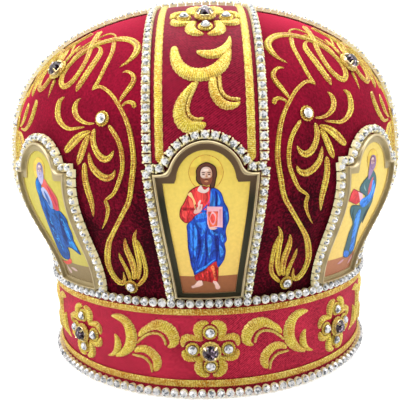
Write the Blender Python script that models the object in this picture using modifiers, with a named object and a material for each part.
"""Bishop's mitre: a stiff velvet crown on a satin head band, with framed pictures and chains of stones.

The crown is a body of revolution about Z. It stands on the head band's lower edge, at the origin, and its
front faces -Y. Everything that lies on the crown is laid out flat, as a distance across and a distance up
from the joint, and then wrapped on to the crown's surface.
"""

import math

import bmesh
import bpy
from mathutils import Vector

MM = 0.001
GAP = 0.3 * MM                      # clearance between pieces that touch
MERGE = 0.00001                     # merge distance of the Screw modifiers

# Head band
BAND_HEIGHT = 47.8 * MM
BAND_RADIUS_HEM = 98.0 * MM         # outer
BAND_RADIUS_TOP = 99.4 * MM         # outer
CLOTH_WALL = 2.5 * MM               # cloth on its stiffening, in crown and band

# Crown, its outer surface
JOINT_HEIGHT = BAND_HEIGHT + GAP
JOINT_RADIUS = 97.8 * MM
WIDEST_HEIGHT = 115.0 * MM
WIDEST_RADIUS = 118.2 * MM
TOP_HEIGHT = 206.8 * MM
DOME_RISE_POWER = 2.55              # powers of the dome's superellipse
DOME_REACH_POWER = 2.2

# Turning
TURN_STEPS = 36
FLARE_ROWS = 6                      # below the widest part, where the outline is hollow
DOME_ROWS = 8
INNER_FLARE_ROWS = 4
INNER_DOME_ROWS = 6
LEAST_SLOPE = 0.05                  # a surface flatter than this is wrapped as if it had this slope

# Braids on the band
BRAID_TOP_HEIGHT = 45.6 * MM
BRAID_TOP_WIDTH = 3.0 * MM
BRAID_HEM_HEIGHT = 7.2 * MM
BRAID_HEM_WIDTH = 3.4 * MM
BRAID_THICKNESS = 1.0 * MM

# Stone chains
CHAIN_DIAMETER = 3.9 * MM
CHAIN_SPACING = 13.5 * MM           # most between the points of a chain's path
RING_CHAIN_POINTS = 36
CHAIN_JOINT_HEIGHT = 50.3 * MM
CHAIN_JOINT_RADIUS = 100.6 * MM
CHAIN_HEM_HEIGHT = 2.4 * MM
CHAIN_HEM_CLEARANCE = 0.5 * MM      # from the band to the hem chain
CHAIN_LIFT = 0.8 * MM               # from the crown's surface to the chain's underside
ICON_CHAIN_GAP = 0.7 * MM           # from a frame's edge to the chain round it

# Straps
STRAP_HALF_WIDTH = 23.9 * MM
STRAP_THICKNESS = 1.0 * MM
STRAP_LIFT = 0.9 * MM               # from the velvet to the strap's back
STRAP_MARGIN = 1.3 * MM             # between the icon's chain and the strap's lower edge
STRAP_CHAIN_ACROSS = 26.2 * MM
STRAP_CHAIN_START = 79.5 * MM
STRAP_CHAIN_END_GAP = 1.2 * MM      # to the square chain at the top
STRAP_COLUMNS = 4
STRAP_ROWS = 11
APEX_HALF_WIDTH = 24.0 * MM
APEX_CHAIN_HALF_WIDTH = 26.2 * MM
APEX_CELLS = 4                      # along a side of the square

# Icons: outline of the frame, from its lower edge
ICON_START = 5.5 * MM               # up the crown from the joint
ICON_FOOT_HALF_WIDTH = 16.8 * MM
ICON_SHOULDER_HALF_WIDTH = 24.0 * MM
ICON_SHOULDER_HEIGHT = 66.9 * MM
ICON_ARCH_RADIUS = 17.4 * MM
ICON_ARCH_CENTRE = 63.8 * MM
ICON_FILLET_RADIUS = 5.0 * MM
FRAME_WIDTH = 4.0 * MM
FRAME_FOOT_WIDTH = 2.7 * MM
FRAME_LIFT = 2.5 * MM
FRAME_THICKNESS = 2.0 * MM
PLATE_LIFT = 1.3 * MM
PLATE_THICKNESS = 0.8 * MM
PLATE_INSET = 1.2 * MM
FILLET_STEPS = 1
ARCH_STEPS = 3                      # from the fillet to the top
SIDE_STEPS = 5                      # up the frame's straight sides
WINDOW_STEP = 0.8 * MM              # from the window's shoulder to the foot of its arch
WINDOW_ARCH_START = 1.0 * MM        # above the arch's centre

# Dark stones in their settings: reach and height down the outside, for a stone of radius 1
STONE_PROFILE = (
    {"reach": 0.00, "height": 1.30},    # middle of the table
    {"reach": 0.52, "height": 1.30},    # table edge
    {"reach": 1.06, "height": 0.92},    # setting's rim, under the crown facets
    {"reach": 1.06, "height": 0.00},    # seat
    {"reach": 0.00, "height": 0.00},
)
STONE_SIDES = 8
BAND_STONE_RADIUS = 4.1 * MM
BAND_STONE_HEIGHT = 24.9 * MM
STRAP_STONE_RADIUS = 4.1 * MM
STRAP_STONE_UP = 158.0 * MM
STRAP_STONE_ACROSS = 1.5 * MM       # the flowers are sewn a little right of the straps' middles
PANEL_STONE_RADIUS = 4.3 * MM
PANEL_STONE_UP = 125.5 * MM
PANEL_STONE_LIFT = -0.6 * MM        # the crown's facets lie this much lower between their corners

STRAP_NAMES = ("front", "right", "back", "left")
ICON_COUNT = 8

COLLECTION = "bishop_mitre"


def clear_scene():
    for item in list(bpy.data.objects):
        bpy.data.objects.remove(item, do_unlink=True)


def make_material(name, colour, roughness, metallic=0.0):
    material = bpy.data.materials.new(name)
    material.use_nodes = True
    shader = material.node_tree.nodes["Principled BSDF"]
    shader.inputs["Base Color"].default_value = (*colour, 1.0)
    shader.inputs["Roughness"].default_value = roughness
    shader.inputs["Metallic"].default_value = metallic
    return material


def add_object(name, data, material, collection):
    item = bpy.data.objects.new(name, data)
    data.materials.append(material)
    collection.objects.link(item)
    return item


def crown_radius(height):
    """Radius of the crown's outer surface: a flare that eases in and out, then the dome."""
    if height <= WIDEST_HEIGHT:
        share = (height - JOINT_HEIGHT) / (WIDEST_HEIGHT - JOINT_HEIGHT)
        ease = (1.0 - math.cos(math.pi * max(share, 0.0))) / 2.0
        return JOINT_RADIUS + (WIDEST_RADIUS - JOINT_RADIUS) * ease
    share = min((height - WIDEST_HEIGHT) / (TOP_HEIGHT - WIDEST_HEIGHT), 1.0)
    return WIDEST_RADIUS * (1.0 - share ** DOME_RISE_POWER) ** (1.0 / DOME_REACH_POWER)


def crown_height(radius):
    """Height of the dome's outer surface at a radius."""
    reach = 1.0 - (radius / WIDEST_RADIUS) ** DOME_REACH_POWER
    return WIDEST_HEIGHT + (TOP_HEIGHT - WIDEST_HEIGHT) * reach ** (1.0 / DOME_RISE_POWER)


def trace_meridian(flare_steps=200, dome_steps=400):
    """Rows of (distance up, radius, height) along the crown's outline, from the joint to the top."""
    places = []
    for step in range(flare_steps):
        height = JOINT_HEIGHT + (WIDEST_HEIGHT - JOINT_HEIGHT) * step / flare_steps
        places.append((crown_radius(height), height))
    for step in range(dome_steps + 1):
        angle = math.pi / 2.0 * step / dome_steps
        radius = WIDEST_RADIUS * math.cos(angle)
        places.append((radius, crown_height(max(radius, 0.0))))
    rows = [(0.0, *places[0])]
    for before, after in zip(places, places[1:]):
        rows.append((rows[-1][0] + math.dist(before, after), *after))
    return rows


MERIDIAN = trace_meridian()
MERIDIAN_LENGTH = MERIDIAN[-1][0]
FLARE_LENGTH = max(row[0] for row in MERIDIAN if row[2] <= WIDEST_HEIGHT)


def meridian_point(up):
    """Radius and height of the outline at a distance up from the joint, and its outward normal."""
    low, high = 0, len(MERIDIAN) - 1
    while high - low > 1:
        middle = (low + high) // 2
        if MERIDIAN[middle][0] <= up:
            low = middle
        else:
            high = middle
    start, end = MERIDIAN[low], MERIDIAN[high]
    share = (up - start[0]) / (end[0] - start[0])
    radius = start[1] + (end[1] - start[1]) * share
    height = start[2] + (end[2] - start[2]) * share
    along = Vector((end[1] - start[1], end[2] - start[2])).normalized()
    return radius, height, Vector((along.y, -along.x))


def wrap(across, up, lift, azimuth):
    """Point at a distance across and up on the crown, lifted off it; azimuth 0 faces -Y, 90 degrees +X."""
    radius, height, normal = meridian_point(up)
    bend = radius / max(normal.x, LEAST_SLOPE)
    sag = bend - math.sqrt(bend * bend - across * across)
    reach = radius + (lift - sag) * normal.x
    rise = height + (lift - sag) * normal.y
    outward = Vector((math.sin(azimuth), -math.cos(azimuth), 0.0))
    sideways = Vector((math.cos(azimuth), math.sin(azimuth), 0.0))
    return outward * reach + sideways * across + Vector((0.0, 0.0, rise))


def turn(name, profile, material, collection, steps=TURN_STEPS):
    """Solid turned about Z from a profile of (radius, height), top to bottom down the outside."""
    mesh = bpy.data.meshes.new(name)
    edges = [(index, index + 1) for index in range(len(profile) - 1)]
    if profile[0][0] > MERGE:
        edges.append((len(profile) - 1, 0))
    mesh.from_pydata([(radius, 0.0, height) for radius, height in profile], edges, [])
    item = add_object(name, mesh, material, collection)
    screw = item.modifiers.new("Turn", "SCREW")
    screw.angle = math.tau
    screw.steps = steps
    screw.render_steps = steps
    screw.use_merge_vertices = True
    screw.merge_threshold = MERGE
    screw.use_smooth_shade = True
    return item


def crown_rows(flare_rows, dome_rows):
    """Distances up the crown for the rows of a turned surface, from below the top down to the joint."""
    rows = []
    for row in range(1, dome_rows):
        rows.append(MERIDIAN_LENGTH + (FLARE_LENGTH - MERIDIAN_LENGTH) * row / dome_rows)
    for row in range(flare_rows + 1):
        rows.append(FLARE_LENGTH * (1.0 - row / flare_rows))
    return rows


def make_crown(material, collection):
    """The hollow velvet crown, open below."""
    outer = [(0.0, TOP_HEIGHT)]
    for up in crown_rows(FLARE_ROWS, DOME_ROWS):
        radius, height, _normal = meridian_point(up)
        outer.append((radius, height))
    inner = []
    for up in crown_rows(INNER_FLARE_ROWS, INNER_DOME_ROWS):
        radius, height, normal = meridian_point(up)
        inner.append((radius - CLOTH_WALL * normal.x, height - CLOTH_WALL * normal.y))
    inner[-1] = (JOINT_RADIUS - CLOTH_WALL, JOINT_HEIGHT)
    inner.reverse()
    inner.append((0.0, TOP_HEIGHT - CLOTH_WALL))
    return turn("crown_shell", outer + inner, material, collection)


def band_radius(height):
    return BAND_RADIUS_HEM + (BAND_RADIUS_TOP - BAND_RADIUS_HEM) * height / BAND_HEIGHT


def make_band(material, collection):
    profile = [
        (BAND_RADIUS_TOP, BAND_HEIGHT),
        (BAND_RADIUS_HEM, 0.0),
        (BAND_RADIUS_HEM - CLOTH_WALL, 0.0),
        (BAND_RADIUS_TOP - CLOTH_WALL, BAND_HEIGHT),
    ]
    return turn("head_band", profile, material, collection)


def make_braid(name, height, width, material, collection):
    """A gold braid round the band, its outer edges rounded off."""
    inner = band_radius(height) + GAP
    outer = inner + BRAID_THICKNESS
    profile = [
        (inner, height + width * 0.5),
        (outer, height + width * 0.3),
        (outer, height - width * 0.3),
        (inner, height - width * 0.5),
    ]
    return turn(name, profile, material, collection)


def make_chain(name, points, material, collection, closed=False):
    """A stone chain as a round tube along its path."""
    curve = bpy.data.curves.new(name, "CURVE")
    curve.dimensions = "3D"
    curve.bevel_depth = CHAIN_DIAMETER / 2.0
    curve.bevel_resolution = 2
    curve.use_fill_caps = True
    spline = curve.splines.new("POLY")
    spline.points.add(len(points) - 1)
    for place, point in zip(spline.points, points):
        place.co = (*point, 1.0)
    spline.use_cyclic_u = closed
    return add_object(name, curve, material, collection)


def make_ring_chain(name, radius, height, material, collection):
    points = []
    for index in range(RING_CHAIN_POINTS):
        angle = math.tau * index / RING_CHAIN_POINTS
        points.append(Vector((radius * math.cos(angle), radius * math.sin(angle), height)))
    return make_chain(name, points, material, collection, closed=True)


def resample(points, spacing):
    """Points at an even spacing along a flat path of (across, up)."""
    lengths = [0.0]
    for before, after in zip(points, points[1:]):
        lengths.append(lengths[-1] + math.dist(before, after))
    count = math.ceil(lengths[-1] / spacing)
    result = []
    index = 0
    for step in range(count + 1):
        target = lengths[-1] * step / count
        while index < len(points) - 2 and lengths[index + 1] < target:
            index += 1
        span = lengths[index + 1] - lengths[index]
        share = (target - lengths[index]) / span
        before, after = points[index], points[index + 1]
        result.append((
            before[0] + (after[0] - before[0]) * share,
            before[1] + (after[1] - before[1]) * share,
        ))
    return result


def solidify(item, thickness):
    """Give an open sheet its thickness, outwards from the crown."""
    wall = item.modifiers.new("Wall", "SOLIDIFY")
    wall.thickness = thickness
    wall.offset = 1.0
    return item


def make_sheet(name, columns, rows, place, thickness, material, collection):
    """A sheet of cloth or metal: a grid whose points go where place(u, v) says, u and v from 0 to 1."""
    sheet = bmesh.new()
    bmesh.ops.create_grid(sheet, x_segments=columns, y_segments=rows, size=0.5)
    for vertex in sheet.verts:
        vertex.co = place(vertex.co.x + 0.5, vertex.co.y + 0.5)
    mesh = bpy.data.meshes.new(name)
    sheet.to_mesh(mesh)
    sheet.free()
    return solidify(add_object(name, mesh, material, collection), thickness)


def strap_end():
    """How far up the crown a strap runs: to the edge of the square at the top."""
    low, high = FLARE_LENGTH, MERIDIAN_LENGTH
    for _step in range(40):
        middle = (low + high) / 2.0
        if meridian_point(middle)[0] > APEX_HALF_WIDTH + 2.0 * GAP:
            low = middle
        else:
            high = middle
    return low


def strap_start(across):
    """How far up the crown a strap begins: just above the chain over the icon's shoulder and arch."""
    margin = GAP + CHAIN_DIAMETER + STRAP_MARGIN
    shoulder = ICON_SHOULDER_HEIGHT + margin
    arch = ICON_ARCH_RADIUS + margin
    if abs(across) < arch:
        shoulder = max(shoulder, ICON_ARCH_CENTRE + math.sqrt(arch ** 2 - across ** 2))
    return ICON_START + shoulder


def make_strap(name, azimuth, material, collection):
    end = strap_end()

    def place(u, v):
        across = STRAP_HALF_WIDTH * (2.0 * u - 1.0)
        start = strap_start(across)
        return wrap(across, start + (end - start) * v, STRAP_LIFT, azimuth)

    return make_sheet(name, STRAP_COLUMNS, STRAP_ROWS, place, STRAP_THICKNESS, material, collection)


def make_apex_square(material, collection):
    def place(u, v):
        x = APEX_HALF_WIDTH * (2.0 * u - 1.0)
        y = APEX_HALF_WIDTH * (2.0 * v - 1.0)
        return Vector((x, y, crown_height(math.hypot(x, y)) + STRAP_LIFT))

    return make_sheet("apex_square", APEX_CELLS, APEX_CELLS, place, STRAP_THICKNESS, material, collection)


def make_apex_chain(material, collection):
    """Square chain on the straps' upper ends."""
    lift = STRAP_LIFT + STRAP_THICKNESS + GAP + CHAIN_DIAMETER / 2.0
    side = APEX_CHAIN_HALF_WIDTH
    corners = [(-side, -side), (side, -side), (side, side), (-side, side), (-side, -side)]
    points = []
    for x, y in resample(corners, side / 2.0)[:-1]:
        points.append(Vector((x, y, crown_height(math.hypot(x, y)) + lift)))
    return make_chain("apex_chain", points, material, collection, closed=True)


def make_strap_chain(name, side, azimuth, material, collection):
    """Chain on the velvet along one edge of a strap, from the icon's shoulder to the top."""
    lift = CHAIN_LIFT + CHAIN_DIAMETER / 2.0
    across = side * STRAP_CHAIN_ACROSS
    end = strap_end() - CHAIN_DIAMETER - STRAP_CHAIN_END_GAP
    points = []
    for _across, up in resample([(across, STRAP_CHAIN_START), (across, end)], CHAIN_SPACING):
        points.append(wrap(across, up, lift, azimuth))
    return make_chain(name, points, material, collection)


def icon_half_width(up):
    """Half the frame's width at a height below its shoulders."""
    share = up / ICON_SHOULDER_HEIGHT
    return ICON_FOOT_HALF_WIDTH + (ICON_SHOULDER_HALF_WIDTH - ICON_FOOT_HALF_WIDTH) * share


def fillet_centre():
    """Centre of the hollow fillet between shoulder and arch, on the right."""
    rise = ICON_SHOULDER_HEIGHT + ICON_FILLET_RADIUS
    reach = ICON_ARCH_RADIUS + ICON_FILLET_RADIUS
    return math.sqrt(reach ** 2 - (rise - ICON_ARCH_CENTRE) ** 2), rise


def icon_side(inset):
    """Right half of the frame's outline, foot to top, moved in by inset: points of (across, up)."""
    points = []
    top = ICON_SHOULDER_HEIGHT - inset
    for step in range(SIDE_STEPS + 1):
        up = inset + (top - inset) * step / SIDE_STEPS
        points.append((icon_half_width(up) - inset, up))
    centre_x, centre_y = fillet_centre()
    meet = math.atan2(centre_y - ICON_ARCH_CENTRE, centre_x)
    hollow = ICON_FILLET_RADIUS + inset
    for step in range(FILLET_STEPS + 1):
        angle = -math.pi / 2.0 + (meet - math.pi / 2.0) * step / FILLET_STEPS
        points.append((centre_x + hollow * math.cos(angle), centre_y + hollow * math.sin(angle)))
    for step in range(1, ARCH_STEPS + 1):
        angle = meet + (math.pi / 2.0 - meet) * step / ARCH_STEPS
        reach = ICON_ARCH_RADIUS - inset
        points.append((reach * math.cos(angle), ICON_ARCH_CENTRE + reach * math.sin(angle)))
    return points


def whole_outline(half):
    """Closed outline from its right half, anticlockwise from the middle of the foot."""
    left = [(-across, up) for across, up in reversed(half[:-1])]
    return [(0.0, half[0][1])] + half + left


def window_side():
    """Right half of the frame's window: square-cut shoulders under a round arch."""
    sill = FRAME_FOOT_WIDTH
    shoulder = ICON_SHOULDER_HEIGHT - FRAME_WIDTH
    arch_radius = ICON_ARCH_RADIUS - FRAME_WIDTH
    points = []
    for step in range(SIDE_STEPS + 1):
        up = sill + (shoulder - sill) * step / SIDE_STEPS
        points.append((icon_half_width(up) - FRAME_WIDTH, up))
    points.append((arch_radius + WINDOW_STEP, shoulder))
    start = math.asin(WINDOW_ARCH_START / arch_radius)
    for step in range(ARCH_STEPS + 1):
        angle = start + (math.pi / 2.0 - start) * step / ARCH_STEPS
        points.append((arch_radius * math.cos(angle), ICON_ARCH_CENTRE + arch_radius * math.sin(angle)))
    return points


def make_frame(name, azimuth, material, collection):
    """Brass frame: the ring between its outline and its window, wrapped on the crown."""
    outline = whole_outline(icon_side(0.0))
    window = whole_outline(window_side())
    sheet = bmesh.new()
    loops = []
    for points in (outline, window):
        loop = [sheet.verts.new((across, up, 0.0)) for across, up in points]
        loops += [sheet.edges.new((loop[i - 1], loop[i])) for i in range(len(loop))]
    bmesh.ops.bridge_loops(sheet, edges=loops)
    bmesh.ops.recalc_face_normals(sheet, faces=sheet.faces)
    if sum(face.normal.z for face in sheet.faces) < 0.0:
        bmesh.ops.reverse_faces(sheet, faces=sheet.faces)
    for vertex in sheet.verts:
        vertex.co = wrap(vertex.co.x, ICON_START + vertex.co.y, FRAME_LIFT, azimuth)
    mesh = bpy.data.meshes.new(name)
    sheet.to_mesh(mesh)
    sheet.free()
    return solidify(add_object(name, mesh, material, collection), FRAME_THICKNESS)


def make_plate(name, azimuth, material, collection):
    """Picture plate behind the frame, filling its window."""
    edge = icon_side(PLATE_INSET)
    rungs = edge[:SIDE_STEPS + 1] + edge[SIDE_STEPS + 2:-1]

    def place(u, v):
        across, up = rungs[round(v * (len(rungs) - 1))]
        return wrap(across * (2.0 * u - 1.0), ICON_START + up, PLATE_LIFT, azimuth)

    return make_sheet(name, 2, len(rungs) - 1, place, PLATE_THICKNESS, material, collection)


def make_icon_chain(name, azimuth, material, collection):
    """Chain round a frame, up one side, over the arch and down the other."""
    lift = CHAIN_LIFT + CHAIN_DIAMETER / 2.0
    half = icon_side(-(ICON_CHAIN_GAP + CHAIN_DIAMETER / 2.0))
    half[0] = (half[0][0], 0.0)
    path = half + [(-across, up) for across, up in reversed(half[:-1])]
    points = [wrap(across, ICON_START + up, lift, azimuth) for across, up in path]
    return make_chain(name, points, material, collection)


def make_stone(name, radius, seat, outward, material, collection):
    """A dark cut stone in its gold setting, standing on its seat."""
    profile = [(row["reach"] * radius, row["height"] * radius) for row in STONE_PROFILE]
    item = turn(name, profile, material, collection, steps=STONE_SIDES)
    item.location = seat
    item.rotation_mode = "QUATERNION"
    item.rotation_quaternion = outward.to_track_quat("Z", "Y")
    return item


def crown_seat(up, azimuth, lift, across=0.0):
    """Seat and outward direction of a piece that stands on the crown."""
    seat = wrap(across, up, lift, azimuth)
    return seat, (wrap(across, up, lift + MM, azimuth) - seat).normalized()


def build():
    clear_scene()
    collection = bpy.data.collections.new(COLLECTION)
    bpy.context.scene.collection.children.link(collection)

    velvet = make_material("crimson velvet", (0.15, 0.006, 0.02), 0.9)
    band_satin = make_material("band satin", (0.42, 0.02, 0.06), 0.45)
    strap_satin = make_material("strap satin", (0.36, 0.01, 0.04), 0.5)
    gold_thread = make_material("gold thread", (0.70, 0.46, 0.08), 0.4, 0.6)
    brass = make_material("polished brass", (0.62, 0.52, 0.28), 0.25, 1.0)
    picture = make_material("printed plate", (0.86, 0.66, 0.20), 0.35)
    rhinestone = make_material("rhinestone chain", (0.80, 0.84, 0.88), 0.1)
    garnet = make_material("dark stone", (0.05, 0.01, 0.03), 0.08)

    make_crown(velvet, collection)
    make_band(band_satin, collection)
    make_braid("band_braid_top", BRAID_TOP_HEIGHT, BRAID_TOP_WIDTH, gold_thread, collection)
    make_braid("band_braid_bottom", BRAID_HEM_HEIGHT, BRAID_HEM_WIDTH, gold_thread, collection)
    make_ring_chain("joint_chain", CHAIN_JOINT_RADIUS, CHAIN_JOINT_HEIGHT, rhinestone, collection)
    hem_radius = band_radius(CHAIN_HEM_HEIGHT) + CHAIN_HEM_CLEARANCE + CHAIN_DIAMETER / 2.0
    make_ring_chain("hem_chain", hem_radius, CHAIN_HEM_HEIGHT, rhinestone, collection)

    make_apex_square(strap_satin, collection)
    make_apex_chain(rhinestone, collection)
    for index, word in enumerate(STRAP_NAMES):
        azimuth = math.tau * index / len(STRAP_NAMES)
        make_strap(f"strap_{word}", azimuth, strap_satin, collection)
        make_strap_chain(f"strap_chain_{word}_a", -1.0, azimuth, rhinestone, collection)
        make_strap_chain(f"strap_chain_{word}_b", 1.0, azimuth, rhinestone, collection)
        lift = STRAP_LIFT + STRAP_THICKNESS + 2.0 * GAP
        seat, outward = crown_seat(STRAP_STONE_UP, azimuth, lift, STRAP_STONE_ACROSS)
        make_stone(f"strap_stone_{word}", STRAP_STONE_RADIUS, seat, outward, garnet, collection)
        corner = azimuth + math.pi / 4.0
        seat, outward = crown_seat(PANEL_STONE_UP, corner, PANEL_STONE_LIFT)
        make_stone(f"panel_stone_{index}", PANEL_STONE_RADIUS, seat, outward, garnet, collection)

    for index in range(ICON_COUNT):
        azimuth = math.tau * index / ICON_COUNT
        make_frame(f"icon_frame_{index}", azimuth, brass, collection)
        make_plate(f"icon_plate_{index}", azimuth, picture, collection)
        make_icon_chain(f"icon_chain_{index}", azimuth, rhinestone, collection)
        outward = Vector((math.sin(azimuth), -math.cos(azimuth), 0.0))
        seat = outward * (band_radius(BAND_STONE_HEIGHT) + 2.0 * GAP)
        seat.z = BAND_STONE_HEIGHT
        make_stone(f"band_stone_{index}", BAND_STONE_RADIUS, seat, outward, garnet, collection)


build()
